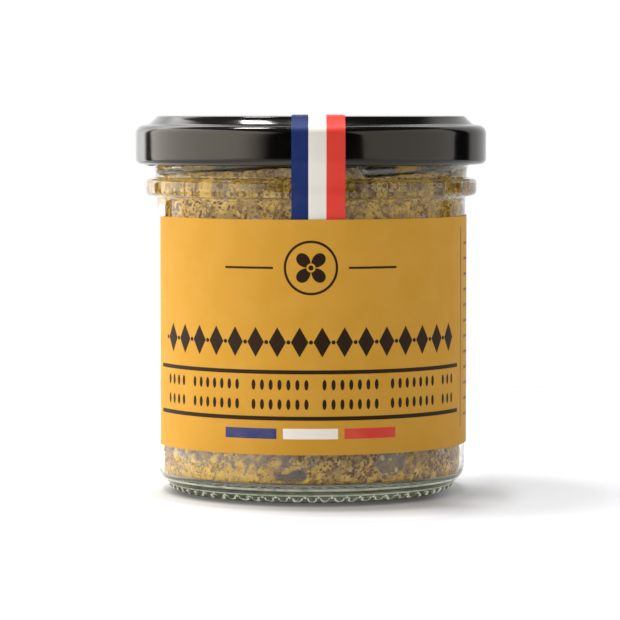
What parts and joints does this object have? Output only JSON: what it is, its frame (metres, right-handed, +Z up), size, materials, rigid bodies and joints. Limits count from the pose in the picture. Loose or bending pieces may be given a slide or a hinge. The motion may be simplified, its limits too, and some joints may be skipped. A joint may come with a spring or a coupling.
{
  "type": "mustard jar",
  "caption": "Squat clear glass jar of wholegrain mustard with a black twist-off lid, a wrap-round yellow paper label and a tricolour paper seal band over the lid.",
  "frame": {"origin": "middle of the foot ring, on the surface the jar stands on", "axes": "+Z up along the jar's axis, -Y towards the label's front, +X to the right as the label is read"},
  "size_m": [0.0724, 0.073, 0.0775],
  "materials": {
    "glass": "clear flint glass, faintly green in the thick base",
    "mustard": "moist coarse paste with cracked brown seeds",
    "lid": "gloss black lacquer",
    "label": "matt uncoated mustard-yellow paper with dark print",
    "seal_band": "satin paper printed in blue, white and red stripes"
  },
  "bodies": {
    "root": {"glass_jar": "glass", "mustard": "mustard", "lid": "lid", "label": "label", "seal_band": "seal_band"}
  },
  "joints": []
}
